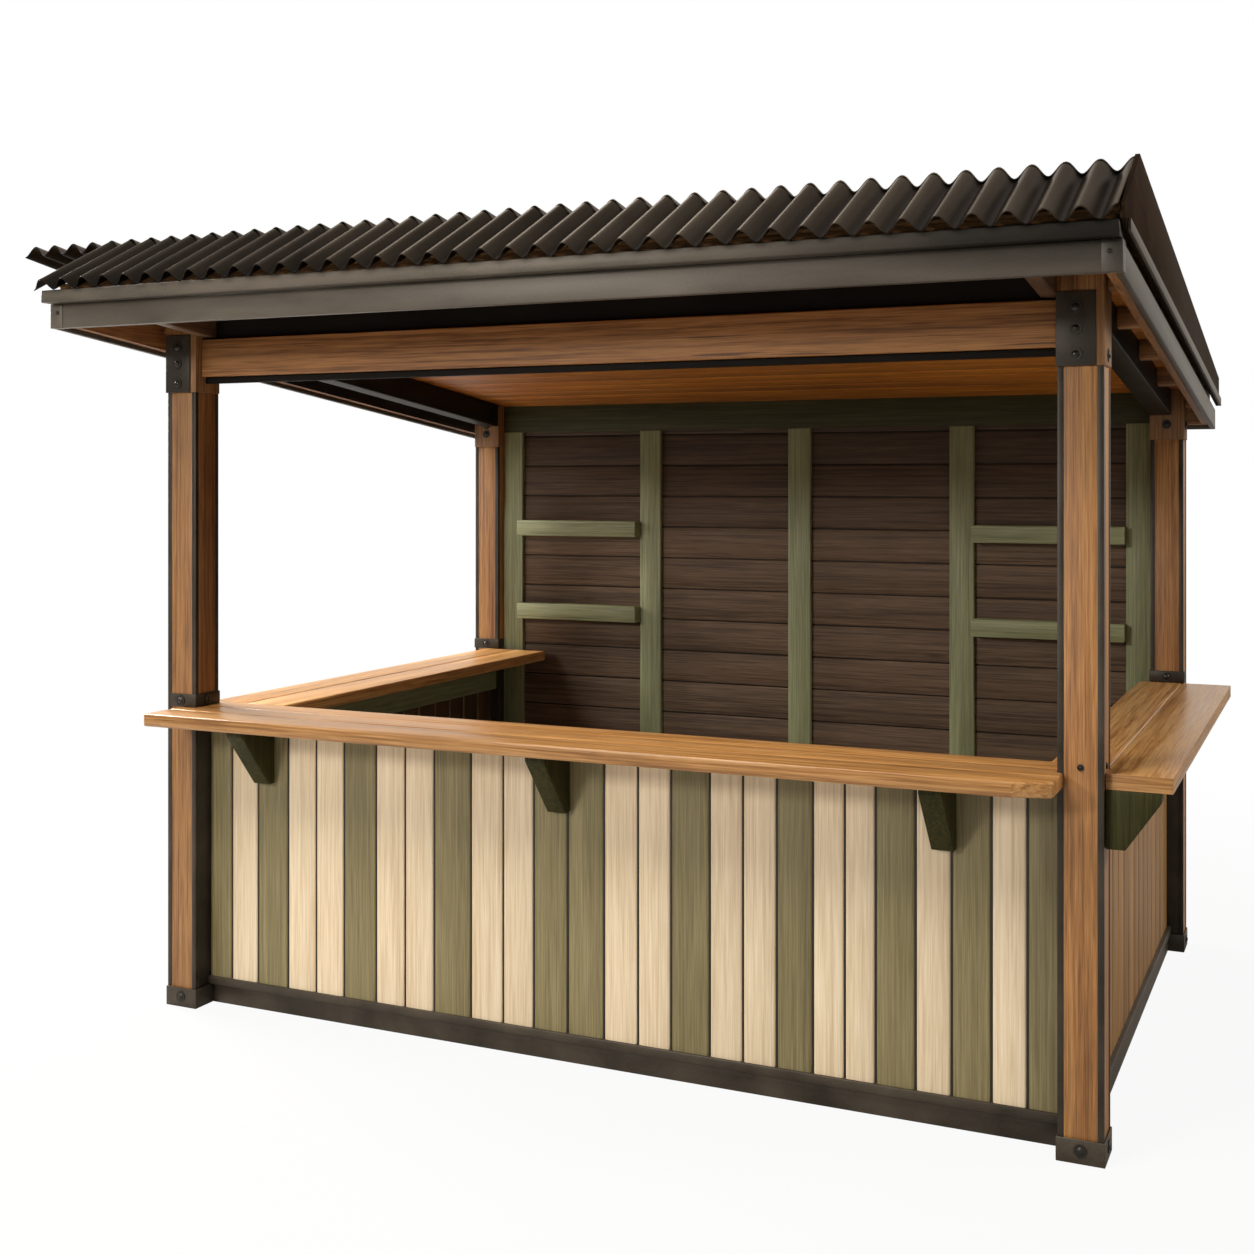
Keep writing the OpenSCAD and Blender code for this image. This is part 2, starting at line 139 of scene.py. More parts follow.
def mixColour(wire, factor, first, second):
    settings = {"data_type": "RGBA", "blend_type": "MIX"}
    inputs = {"Factor_Float": factor, "A_Color": first, "B_Color": second}
    return wire.node("ShaderNodeMix", settings, inputs, "Result_Color")


def rampColour(wire, value, stops):
    return wire.node("ShaderNodeValToRGB", {"stops": stops}, {"Fac": value}, "Color")


def shaded(wire, colour, level):
    return wire.node("ShaderNodeHueSaturation", {}, {"Value": level, "Color": colour}, "Color")


def vectorMath(wire, operation, first, second):
    return wire.node("ShaderNodeVectorMath", {"operation": operation}, {0: first, 1: second})


def noise(wire, place, scale, detail=3.0, distortion=0.0):
    # noise on coordinates that are stretched by a different amount along each axis
    stretched = vectorMath(wire, "MULTIPLY", place, scale)
    inputs = {"Vector": stretched, "Scale": 1.0, "Detail": detail, "Distortion": distortion}
    return wire.node("ShaderNodeTexNoise", {}, inputs, "Fac")


def smoothStep(wire, value, low, high):
    inputs = {"Value": value, "From Min": low, "From Max": high}
    return wire.node("ShaderNodeMapRange", {"interpolation_type": "SMOOTHSTEP"}, inputs, "Result")


def bump(wire, height, strength, distance):
    inputs = {"Height": height, "Strength": strength, "Distance": distance}
    return wire.node("ShaderNodeBump", {}, inputs)


def objectPlace(wire):
    return wire.node("ShaderNodeTexCoord", out="Object")


def carried(wire, name):
    # a value that a mesh carries as a named attribute
    return wire.node("ShaderNodeAttribute", {"attribute_name": name}, out="Fac")


def rgb(red, green, blue):
    # a colour as it shows on screen, turned to the linear values a shader takes
    def linear(value):
        value = value / 255
        return value / 12.92 if value < 0.04045 else ((value + 0.055) / 1.055) ** 2.4
    return (linear(red), linear(green), linear(blue))


def woodTones(dark, middle, light):
    return {"dark": rgb(*dark), "middle": rgb(*middle), "light": rgb(*light)}


def metalTones(dark, light):
    return {"dark": rgb(*dark), "light": rgb(*light)}


def alongGrain(axis, along, across):
    return tuple(along if name == axis else across for name in "xyz")


def boardPlace(wire):
    # object coordinates, shifted from board to board by each board's own tone
    tone = carried(wire, "tone")
    shift = wire.node("ShaderNodeCombineXYZ", {}, {0: tone * 7.3, 1: tone * 11.9, 2: tone * 5.7})
    return vectorMath(wire, "ADD", objectPlace(wire), shift), tone


def boardLevel(wire, tone, look):
    # boards differ a little in brightness, and their rounded long edges carry a painted highlight
    # where the bevels would catch the light
    paintedEdgeHighlight = smoothStep(wire, carried(wire, "rim"), 0.87, 0.97) * look["paintedEdgeHighlight"]
    return (tone - 0.5) * look["spread"] + 1.0 + paintedEdgeHighlight


def seamShade(wire, colour):
    # painted shade: the tongue between two boards is nearly black, for the shade in the joints
    return mixColour(wire, carried(wire, "seam"), colour, (0.006, 0.005, 0.003, 1.0))


def paintedLightFalloff(wire, colour, paintedFalloff):
    # painted shade: the colour is darker towards one end of an axis, where less light falls
    axis, first, last, amount = paintedFalloff
    along = wire.node("ShaderNodeSeparateXYZ", {}, {0: objectPlace(wire)}, axis)
    share = smoothStep(wire, along, min(first, last), max(first, last))
    share = 1.0 - share if first > last else share
    return shaded(wire, colour, 1.0 - share * amount)


woodBase = {"lines": 0.4, "cracks": 0.6, "knots": 0.5, "spread": 0.3, "paintedEdgeHighlight": 0.0,
            "relief": 0.3, "rough": 0.36, "shine": 0.5}


def woodMaterial(name, look):
    # straight fibres along one axis, with cracks and a few knots
    look = {**woodBase, **look}
    material, wire, shader = newMaterial(name)
    place, tone = boardPlace(wire)
    axis = look["grain"]
    broad = noise(wire, place, alongGrain(axis, 0.8, 15.0), 3.0, 0.2)
    streak = noise(wire, place, alongGrain(axis, 1.3, 75.0), 3.0, 0.15)
    fine = noise(wire, place, alongGrain(axis, 2.6, 170.0), 3.0, 0.1)
    fibre = noise(wire, place, alongGrain(axis, 9.0, 340.0), 2.0)
    value = broad * 0.19 + streak * 0.29 + fine * 0.30 + fibre * 0.22
    stops = [(0.415, look["dark"]), (0.50, look["middle"]), (0.59, look["light"])]
    colour = rampColour(wire, value, stops)

    line = smoothStep(wire, fine, 0.56, 0.68) * smoothStep(wire, streak, 0.42, 0.58)
    split = smoothStep(wire, streak, 0.62, 0.69) * smoothStep(wire, broad, 0.40, 0.60)
    crack = wire.math("MAXIMUM", split * look["cracks"], line * look["lines"])
    spread = vectorMath(wire, "MULTIPLY", place, alongGrain(axis, 1.3, 6.5))
    inputs = {"Vector": spread, "Scale": 1.0, "Randomness": 1.0}
    knotAt = wire.node("ShaderNodeTexVoronoi", {}, inputs, "Distance")
    knot = (1.0 - smoothStep(wire, knotAt, 0.02, 0.09)) * look["knots"]
    colour = mixColour(wire, wire.math("MAXIMUM", crack, knot), colour, (*look["crack"], 1.0))

    colour = shaded(wire, colour, boardLevel(wire, tone, look))
    # painted light falloff along an axis, where the look gives one
    if "paintedFalloff" in look:
        colour = paintedLightFalloff(wire, colour, look["paintedFalloff"])
    height = streak * 0.4 + fine * 0.35 + fibre * 0.25 - crack * 0.6
    normal = bump(wire, height, look["relief"], 0.002)
    rough = streak * 0.22 + fibre * 0.12 + look["rough"]
    feed(wire, shader, Base_Color=seamShade(wire, colour), Roughness=rough, Normal=normal)
    feed(wire, shader, Specular_IOR_Level=look["shine"])
    return material


paintBase = {"spread": 0.14, "paintedEdgeHighlight": 0.0, "relief": 0.25, "rough": 0.45, "shine": 0.5}


def paintMaterial(name, look):
    # paint over grain; "paint" on a board picks the second colour
    look = {**paintBase, **look}
    material, wire, shader = newMaterial(name)
    place, tone = boardPlace(wire)
    axis = look["grain"]
    broad = noise(wire, place, alongGrain(axis, 1.6, 14.0), 3.0, 0.5)
    streak = noise(wire, place, alongGrain(axis, 1.6, 120.0), 3.0, 0.15)
    fibre = noise(wire, place, alongGrain(axis, 6.0, 300.0), 3.0)
    value = broad * 0.22 + streak * 0.36 + fibre * 0.42
    stops = [(0.38, look["dark"]), (0.50, look["middle"]), (0.62, look["light"])]
    colour = rampColour(wire, value, stops)
    if "second" in look:
        second = [(stop, shade) for (stop, _), shade in zip(stops, look["second"].values())]
        other = rampColour(wire, value, second)
        colour = mixColour(wire, carried(wire, "paint"), colour, other)
    colour = shaded(wire, colour, boardLevel(wire, tone, look))
    normal = bump(wire, streak * 0.6 + fibre * 0.4, look["relief"], 0.0015)
    rough = broad * 0.2 + look["rough"]
    feed(wire, shader, Base_Color=seamShade(wire, colour), Roughness=rough, Normal=normal)
    feed(wire, shader, Specular_IOR_Level=look["shine"])
    return material


metalBase = {"cloud": (5.0, 5.0, 5.0), "relief": 0.06, "shine": 0.5, "tint": (1.0, 1.0, 1.0)}


def metalMaterial(name, look):
    # coated steel: a mottled coat with fine scuffs
    look = {**metalBase, **look}
    material, wire, shader = newMaterial(name)
    place = objectPlace(wire)
    cloud = noise(wire, place, look["cloud"], 4.0, 0.4)
    grit = noise(wire, place, (180.0, 180.0, 180.0), 2.0)
    stops = [(0.35, look["dark"]), (0.66, look["light"])]
    colour = rampColour(wire, cloud * 0.8 + grit * 0.2, stops)
    # painted light falloff along an axis, where the look gives one
    if "paintedFalloff" in look:
        colour = paintedLightFalloff(wire, colour, look["paintedFalloff"])
    if "paintedCrestLight" in look:   # painted highlight on the crests and painted shade in the troughs
        crest = carried(wire, "crest")
        flank = smoothStep(wire, crest, 0.0, 0.55) * look["paintedCrestLight"]
        top = smoothStep(wire, crest, 0.75, 1.0) * 0.5
        colour = shaded(wire, colour, flank + top + (1.0 - look["paintedCrestLight"]))
    rough = cloud * 0.18 + look["rough"]
    normal = bump(wire, grit, look["relief"], 0.0006)
    feed(wire, shader, Base_Color=colour, Roughness=rough, Normal=normal)
    feed(wire, shader, Metallic=look["metallic"], Specular_IOR_Level=look["shine"])
    feed(wire, shader, Specular_Tint=(*look["tint"], 1.0))
    return material


# bare timber; a look that starts from another one changes only what differs
postLook = {**woodTones((115, 75, 38), (161, 111, 61), (191, 140, 84)), "grain": "z",
            "crack": rgb(66, 38, 18), "spread": 0.0, "lines": 0.55, "relief": 0.4}
# painted shade: the front left post takes a darker copy of the post wood
shadedLeftPostLook = {**postLook, **woodTones((99, 64, 33), (138, 95, 52), (165, 121, 73))}
# painted shade: the head blocks under the eave take a darker copy of the post wood
shadedHeadLook = {**postLook, **woodTones((88, 57, 28), (124, 85, 46), (150, 109, 65))}
# painted shade: the beam and the roof timbers take darker tones than the posts, for the shade under
# the eave
beamLook = {**postLook, **woodTones((96, 60, 28), (140, 94, 50), (170, 121, 70)), "grain": "x",
            "cracks": 0.9}
# painted light: the eave batten takes a much lighter wood so that it shows lit under the sheets
litBattenLook = {**beamLook, **woodTones((160, 115, 72), (196, 146, 94), (218, 170, 116))}
# painted shade: the rims and firrings take a darker wood, the rafters a darker one still
slopeLook = {**postLook, **woodTones((86, 52, 24), (126, 82, 42), (154, 106, 60)), "grain": "y"}
shadedRafterLook = {**slopeLook, **woodTones((60, 41, 25), (82, 58, 37), (104, 76, 51))}
postWood = woodMaterial("post wood", postLook)
shadedLeftPostWood = woodMaterial("left post wood painted shade", shadedLeftPostLook)
shadedHeadWood = woodMaterial("head block wood painted shade", shadedHeadLook)
beamWood = woodMaterial("beam wood", beamLook)
litBattenWood = woodMaterial("batten wood painted light", litBattenLook)
slopeWood = woodMaterial("rim wood", slopeLook)
shadedRafterWood = woodMaterial("rafter wood painted shade", shadedRafterLook)

# counters and boards; a painted light falloff is an axis, where it starts and ends in metres, and
# its amount
# painted sheen: the counter wood darkens towards the left
counterLook = {**woodTones((132, 88, 44), (175, 125, 69), (207, 158, 101)), "grain": "x",
               "crack": rgb(98, 60, 28), "cracks": 0.35, "knots": 0.25, "rough": 0.16,
               "relief": 0.25, "paintedFalloff": ("X", 1.0, -0.3, 0.14)}
# painted sheen: the wings take a lighter copy of the counter wood, darker towards the right
wingLook = {**counterLook, **woodTones((168, 114, 60), (221, 161, 94), (250, 199, 130)),
            "grain": "y", "paintedFalloff": ("X", -0.9, 1.2, 0.32)}
# painted shade: the ceiling darkens towards the left
ceilingLook = {**woodTones((122, 67, 12), (178, 104, 22), (208, 134, 38)), "grain": "x",
               "crack": rgb(70, 36, 10), "spread": 0.4, "paintedFalloff": ("X", 1.2, 0.3, 0.2)}
sideLook = {**woodTones((108, 74, 38), (146, 106, 56), (172, 130, 74)), "grain": "z",
            "crack": rgb(60, 36, 18)}
# painted shade: the inner faces of the side panels take a dark copy of the side board wood
shadedInsideLook = {**sideLook, **woodTones((50, 32, 16), (72, 48, 26), (90, 63, 36))}
# painted shade: the wall boards darken towards the top under the roof, and their edges carry a
# painted highlight
wallLook = {**woodTones((66, 51, 39), (92, 73, 57), (115, 95, 76)), "grain": "x",
            "crack": rgb(22, 16, 12), "spread": 0.25, "rough": 0.42, "shine": 0.25,
            "paintedEdgeHighlight": 0.5, "paintedFalloff": ("Z", 1.45, 2.0, 0.5)}
counterWood = woodMaterial("counter wood", counterLook)
wingWood = woodMaterial("wing wood", wingLook)
ceilingWood = woodMaterial("ceiling wood", ceilingLook)
sideWood = woodMaterial("side board wood", sideLook)
shadedInsideWood = woodMaterial("inside wood painted shade", shadedInsideLook)
wallWood = woodMaterial("wall board wood", wallLook)

# the front boards carry a painted highlight on their edges
panelLook = {**woodTones((204, 181, 147), (222, 202, 170), (235, 218, 190)), "grain": "z",
             "second": woodTones((102, 92, 60), (123, 112, 76), (141, 130, 93)), "paintedEdgeHighlight": 0.22}
sageLook = {**woodTones((109, 112, 78), (137, 141, 102), (158, 162, 122)), "grain": "z"}
# painted shade: the top rail under the roof takes a darker copy of the sage paint
shadedRailLook = {**woodTones((46, 45, 25), (59, 57, 33), (73, 71, 45)), "grain": "x", "shine": 0.2}
# the brackets are a darker green, darkened further as painted shade under the counter
bracketLook = {**woodTones((36, 35, 14), (50, 48, 20), (66, 63, 30)), "grain": "z", "shine": 0.15}
panelPaint = paintMaterial("panel paint", panelLook)
sageUpright = paintMaterial("sage upright", sageLook)
sageLong = paintMaterial("sage ledge", {**sageLook, "grain": "x"})
sageWing = paintMaterial("sage side rail", {**sageLook, "grain": "y"})
shadedRailGreen = paintMaterial("top rail green painted shade", shadedRailLook)
bracketGreen = paintMaterial("bracket green", bracketLook)

# steel and the parts stained black
steelLook = {**metalTones((39, 34, 28), (67, 60, 51)), "rough": 0.34, "metallic": 0.2, "shine": 0.28}
railSteelLook = {**metalTones((50, 44, 36), (84, 75, 64)), "rough": 0.36, "metallic": 0.2,
                 "shine": 0.3}
boltLook = {**metalTones((30, 27, 23), (52, 47, 42)), "rough": 0.22, "metallic": 0.5}
sideBeamLook = {**metalTones((24, 20, 16), (38, 32, 27)), "rough": 0.4, "metallic": 0.0,
                "shine": 0.15}
# painted shade: the infill above the front beam is near black, for the shade under the deck
infillLook = {**metalTones((14, 11, 8), (24, 20, 16)), "rough": 0.6, "metallic": 0.0, "shine": 0.1}
darkSteel = metalMaterial("dark steel", steelLook)
railSteel = metalMaterial("rail steel", railSteelLook)
boltSteel = metalMaterial("bolt steel", boltLook)
sideBeamBlack = metalMaterial("side beam black", sideBeamLook)
infillBlack = metalMaterial("infill black", infillLook)

# roof edge and sheets
# painted shade: the bronze, its strip and its corner cap darken towards the right; the side fascias
# take a darker copy of the bronze
bronzeLook = {**metalTones((70, 64, 56), (99, 91, 81)), "rough": 0.36, "metallic": 0.2,
              "shine": 0.4, "cloud": (2.0, 6.0, 9.0), "paintedFalloff": ("X", 0.3, 2.0, 0.28)}
stripLook = {**bronzeLook, "shine": 0.2, "paintedFalloff": ("X", 0.3, 1.8, 0.88)}
capLook = {**bronzeLook, "paintedFalloff": ("X", 0.3, 1.8, 0.5)}
sideFasciaLook = {**metalTones((54, 49, 43), (78, 72, 64)), "rough": 0.36, "metallic": 0.2,
                  "shine": 0.35}
# the roof sheet has a painted highlight on its crests, painted shade in its troughs and painted
# shade towards its left end
sheetLook = {**metalTones((38, 33, 28), (62, 56, 49)), "rough": 0.25, "metallic": 0.7,
             "shine": 0.2, "tint": (0.45, 0.42, 0.39), "cloud": (3.0, 2.0, 2.0), "paintedCrestLight": 0.6,
             "paintedFalloff": ("X", 0.4, -1.3, 0.62)}
gableLook = {**metalTones((42, 37, 32), (70, 63, 56)), "rough": 0.36, "metallic": 0.6, "shine": 0.2}
bargeLook = {**metalTones((34, 25, 16), (50, 39, 27)), "rough": 0.46, "metallic": 0.8,
             "shine": 0.1, "tint": (0.25, 0.2, 0.15)}
lipLook = {**metalTones((58, 50, 42), (82, 73, 63)), "rough": 0.4, "metallic": 0.1, "shine": 0.3}
bronzeTrim = metalMaterial("bronze trim", bronzeLook)
bronzeStrip = metalMaterial("bronze strip", stripLook)
bronzeCap = metalMaterial("bronze corner", capLook)
bronzeSide = metalMaterial("bronze side", sideFasciaLook)
roofSheet = metalMaterial("roof sheet", sheetLook)
gableSheet = metalMaterial("gable sheet", gableLook)
bargeBrown = metalMaterial("barge brown", bargeLook)
lipBrown = metalMaterial("barge lip brown", lipLook)
print("materials made")


def addPiece(piece, slot, *nodes):
    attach(piece, "root")
    if nodes:
        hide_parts(*nodes)
    return piece


def newObject(name, mesh):
    piece = bpy.data.objects.new(name, mesh)
    bpy.context.scene.collection.objects.link(piece)
    return piece


def mergedCopy(node):
    # a CAD node as clean flat faces, ready to be rounded
    form = bmesh.new()
    form.from_mesh(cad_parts[node].data)
    bmesh.ops.remove_doubles(form, verts=form.verts, dist=1e-5)
    bmesh.ops.dissolve_limit(form, angle_limit=0.01, verts=form.verts, edges=form.edges)
    return form


def halved(form, place, normal, keepInside=False):
    # cuts the form at a plane; keepInside drops what lies on the normal's side
    everything = list(form.verts) + list(form.edges) + list(form.faces)
    bmesh.ops.bisect_plane(form, geom=everything, plane_co=place, plane_no=normal,
                           clear_outer=keepInside)


def roundEdges(form, width, segments=2):
    sharpFrom = 0.5   # radians between two faces
    sharp = [edge for edge in form.edges
             if len(edge.link_faces) == 2 and edge.calc_face_angle(0.0) > sharpFrom]
    bmesh.ops.bevel(form, geom=sharp, offset=width, segments=segments, profile=0.5,
                    affect="EDGES", clamp_overlap=True)


def smoothByAngle(mesh, degrees):
    mesh.shade_smooth()
    mesh.set_sharp_from_angle(angle=math.radians(degrees))


def meshFrom(form, name, material):
    mesh = bpy.data.meshes.new(name)
    bmesh.ops.recalc_face_normals(form, faces=form.faces)
    form.to_mesh(mesh)
    form.free()
    mesh.materials.clear()
    mesh.materials.append(material)
    smoothByAngle(mesh, 40)
    return mesh


def softened(node, slot, material, width):
    form = mergedCopy(node)
    roundEdges(form, width)
    return addPiece(newObject(node + "_soft", meshFrom(form, node, material)), slot, node)


def paintFaces(piece, material, chosen, cut=None):
    # a second finish on the faces that a test picks, after a cut where one is given
    form = bmesh.new()
    form.from_mesh(piece.data)
    if cut:
        halved(form, *cut)
    for face in form.faces:
        if chosen(face.normal, face.calc_center_median()):
            face.material_index = len(piece.data.materials)
    form.to_mesh(piece.data)
    form.free()
    piece.data.materials.append(material)


def inward(normal, middle):
    return normal.x * middle.x < -0.7 * abs(middle.x)


def forward(normal, middle):
    return normal.y < -0.7


def darkFoot(post, piece):
    # painted shade: below the counter the faces towards the panels, which lie in shade, get the dark
    # steel finish
    low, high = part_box(post)
    side = ((low + high) / 2 - (cadBox[0] + cadBox[1]) / 2).normalized()
    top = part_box("front_counter")[0].z

    def chosen(normal, middle):
        return middle.z < top and min(normal.x * side.x, normal.y * side.y) < -0.4

    paintFaces(piece, darkSteel, chosen, ((0, 0, top), (0, 0, 1)))


def darkInside(rims):
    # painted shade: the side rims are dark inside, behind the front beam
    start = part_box("front_beam")[1].y

    def chosen(normal, middle):
        return inward(normal, middle) and middle.y > start

    paintFaces(rims, sideBeamBlack, chosen, ((0, start, 0), (0, 1, 0)))


# slot: node, finish and radius of its eased edges
softenedNodes = {
    "post_wood": [("post_front_left", shadedLeftPostWood, 0.002), ("post_front_right", postWood, 0.002),
                  ("post_back_left", postWood, 0.002), ("post_back_right", postWood, 0.002),
                  ("head_blocks", shadedHeadWood, 0.003), ("front_beam", beamWood, 0.004)],
    "dark_steel": [("corner_angles", darkSteel, 0.0012), ("shoes", railSteel, 0.003),
                   ("head_plates", darkSteel, 0.0015), ("post_collars", darkSteel, 0.002),
                   ("side_beams", sideBeamBlack, 0.004), ("base_rails", railSteel, 0.003),
                   ("beam_infill", infillBlack, 0.002), ("drip_strips", railSteel, 0.002)],
    "green_paint": [("side_ledgers", sageWing, 0.003), ("front_brackets", bracketGreen, 0.003),
                    ("right_bracket", bracketGreen, 0.003), ("wall_battens", sageUpright, 0.003),
                    ("wall_top_rail", shadedRailGreen, 0.003), ("wall_ledges", sageLong, 0.003)],
    "roof_timber": [("rafters", shadedRafterWood, 0.003), ("lookouts", beamWood, 0.003),
                    ("cross_rims", beamWood, 0.002), ("side_rims", slopeWood, 0.002),
                    ("eave_batten", litBattenWood, 0.002), ("ridge_board", beamWood, 0.002),
                    ("firrings", slopeWood, 0.002)],
    "bronze_trim": [("front_fascia", bronzeTrim, 0.003), ("side_fascias", bronzeSide, 0.003),
                    ("back_fascia", bronzeTrim, 0.003), ("fascia_corners", bronzeCap, 0.0015),
                    ("eave_strip", bronzeStrip, 0.004), ("right_barge", bargeBrown, 0.0012),
                    ("barge_lip", lipBrown, 0.001), ("left_gable", gableSheet, 0.0012)],
}
for slot, nodes in softenedNodes.items():
    for node, material, width in nodes:
        piece = softened(node, slot, material, width)
        if node == "side_rims":
            darkInside(piece)
        elif node.startswith("post_") and slot == "post_wood":
            darkFoot(node, piece)
print("timber and steel rounded")


def newTree(name, result, kinds):
    # a Geometry Nodes tree with named inputs, and a wire from each of them
    tree = bpy.data.node_groups.new(name, "GeometryNodeTree")
    for key, kind in kinds.items():
        tree.interface.new_socket(key, in_out="INPUT", socket_type="NodeSocket" + kind)
    tree.interface.new_socket(result, in_out="OUTPUT", socket_type="NodeSocketGeometry")
    entry = tree.nodes.new("NodeGroupInput")
    given = {key: Wire(tree, findSocket(entry.outputs, key)) for key in kinds}
    return tree, Wire(tree), given


def endTree(tree, shape, finish):
    shape = shape.node("GeometryNodeRealizeInstances", {}, {"Geometry": shape})
    shape = shape.node("GeometryNodeSetMaterial", {}, {"Geometry": shape, "Material": finish})
    exitNode = tree.nodes.new("NodeGroupOutput")
    tree.links.new(shape.socket, exitNode.inputs[0])
    return tree


def pointValue(wire, name, kind="FLOAT"):
    settings = {"data_type": kind}
    return wire.node("GeometryNodeInputNamedAttribute", settings, {"Name": name}, "Attribute")


def stored(wire, shape, name, value):
    return wire.node("GeometryNodeStoreNamedAttribute", {"data_type": "FLOAT", "domain": "POINT"},
                     {"Geometry": shape, "Name": name, "Value": value})


def placeX(wire):
    place = wire.node("GeometryNodeInputPosition")
    return wire.node("ShaderNodeSeparateXYZ", {}, {0: place}, "X")


def plankTree():
    # rounded boards on the points of a mesh, one board to a point
    kinds = {"Points": "Geometry", "Width": "Float", "Thickness": "Float", "Length": "Float",
             "Edge": "Float", "Turn": "Vector", "Finish": "Material"}
    tree, wire, given = newTree("plank row", "Boards", kinds)
    outline = wire.node("GeometryNodeCurvePrimitiveQuadrilateral", {},
                        {"Width": given["Width"], "Height": given["Thickness"]})
    inputs = {"Curve": outline, "Count": 3, "Radius": given["Edge"], "Limit Radius": True}
    outline = wire.node("GeometryNodeFilletCurve", {"mode": "POLY"}, inputs)
    face = wire.node("GeometryNodeFillCurve", {"mode": "NGONS"}, {"Curve": outline})
    rise = wire.node("ShaderNodeCombineXYZ", {}, {"Z": 1.0})
    inputs = {"Mesh": face, "Offset": rise, "Offset Scale": given["Length"], "Individual": False}
    body = wire.node("GeometryNodeExtrudeMesh", {"mode": "FACES"}, inputs)
    under = wire.node("GeometryNodeFlipFaces", {}, {"Mesh": face})
    plank = wire.node("GeometryNodeJoinGeometry", {}, {"Geometry": [body, under]})
    inputs = {"Geometry": plank, "Distance": 0.0001}
    plank = wire.node("GeometryNodeMergeByDistance", {}, inputs)
    across = wire.math("ABSOLUTE", placeX(wire))
    plank = stored(wire, plank, "rim", across / (given["Width"] * 0.5))
    size = wire.node("ShaderNodeCombineXYZ", {},
                     {"X": pointValue(wire, "fit"), "Y": pointValue(wire, "slim"), "Z": 1.0})
    turn = wire.node("FunctionNodeEulerToRotation", {}, {0: given["Turn"]})
    inputs = {"Points": given["Points"], "Instance": plank, "Rotation": turn, "Scale": size}
    laid = wire.node("GeometryNodeInstanceOnPoints", {}, inputs)
    return endTree(tree, laid, given["Finish"])


def pointMesh(name, places, attributes):
    mesh = bpy.data.meshes.new(name)
    mesh.from_pydata([tuple(place) for place in places], [], [])
    for key, (kind, values) in attributes.items():
        layer = mesh.attributes.new(key, kind, "POINT")
        for item, value in zip(layer.data, values):
            if kind == "FLOAT_VECTOR":
                item.vector = value
            else:
                item.value = value
    return mesh


def grown(name, base, tree, values, extra=()):
    # runs a node tree on a base mesh and keeps the result as a plain mesh
    carrier = newObject(name, base)
    modifier = carrier.modifiers.new(tree.name, "NODES")
    modifier.node_group = tree
    for item in tree.interface.items_tree:
        if item.item_type == "SOCKET" and item.in_out == "INPUT" and item.name in values:
            modifier[item.identifier] = values[item.name]
    for kind, settings in extra:
        more = carrier.modifiers.new(kind, kind)
        for key, value in settings.items():
            setattr(more, key, value)
    bpy.context.view_layer.update()
    ready = carrier.evaluated_get(bpy.context.evaluated_depsgraph_get())
    mesh = bpy.data.meshes.new_from_object(ready)
    carrier.modifiers.clear()
    carrier.data = mesh
    mesh.name = name
    return carrier


def turnTo(across, through, along):
    return tuple(Matrix((across, through, along)).transposed().to_euler())


planks = plankTree()


def plankRow(name, slot, node, material, look, start, step, count, turn):
    # boards side by side from a start corner, with one wide tongue behind all the joints
    dice = random.Random(look["seed"])
    pitch = step.length
    shifts = [dice.uniform(-1, 1) for _ in range(1, count)]
    if "seams" in look:
        edges = [seam / pitch for seam in look["seams"]]
    else:
        edges = [0.0] + [k + shift * look["wander"] for k, shift in enumerate(shifts, 1)]
    edges.append(float(count))
    places = [start + step * (edges[k] + edges[k + 1]) / 2 for k in range(count)]
    fits = [((edges[k + 1] - edges[k]) * pitch - look["gap"]) / pitch for k in range(count)]
    tones = [dice.random() for _ in range(count)]
    paints = [1.0 if letter == "g" else 0.0 for letter in look.get("paint", "c" * count)]
    places.append(start + step * count / 2)   # from here on the last item is the tongue
    tongue = {"width": count - 0.1, "thick": 0.4}
    attributes = {"fit": ("FLOAT", fits + [tongue["width"]]), "tone": ("FLOAT", tones + [0.5]),
                  "paint": ("FLOAT", paints + [0.0]), "seam": ("FLOAT", [0.0] * count + [1.0]),
                  "slim": ("FLOAT", [1.0] * count + [tongue["thick"]])}
    values = {"Width": pitch, "Thickness": look["thick"], "Length": look["length"],
              "Edge": look["edge"], "Turn": turn, "Finish": material}
    row = grown(name, pointMesh(name, places, attributes), planks, values)
    smoothByAngle(row.data, 35)
    return addPiece(row, slot, node)


upX = Vector((1, 0, 0))
upY = Vector((0, 1, 0))
upZ = Vector((0, 0, 1))

# "paint" has a letter for each board from the left, green or cream; "seams" are their left edges
low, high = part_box("front_panel")
frontBoards = {"seed": 11, "gap": 0.007, "edge": 0.008, "thick": high.y - low.y,
               "length": high.z - low.z, "paint": "gcgccgccgccggccgccgccgcgcg",
               "seams": [0.0, 0.095, 0.205, 0.330, 0.444, 0.556, 0.682, 0.794, 0.904,
                         1.041, 1.158, 1.268, 1.387, 1.511, 1.625, 1.734, 1.859, 1.964,
                         2.069, 2.179, 2.274, 2.365, 2.480, 2.582, 2.692, 2.790]}
count = len(frontBoards["paint"])
start = Vector((low.x, (low.y + high.y) / 2, low.z))
plankRow("front_boards", "panel_paint", "front_panel", panelPaint, frontBoards, start,
         upX * (high.x - low.x) / count, count, (0, 0, 0))

sideBoards = {"seed": 5, "wander": 0.04, "gap": 0.009, "edge": 0.006, "count": 16}
for side in ("left", "right"):
    low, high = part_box(side + "_panel")
    sideBoards["thick"] = high.x - low.x
    sideBoards["length"] = high.z - low.z
    sideBoards["seed"] += 1
    count = sideBoards["count"]
    start = Vector(((low.x + high.x) / 2, low.y, low.z))
    row = plankRow(side + "_boards", "side_boards", side + "_panel", sideWood, sideBoards, start,
                   upY * (high.y - low.y) / count, count, turnTo(upY, -upX, upZ))
    paintFaces(row, shadedInsideWood, inward)

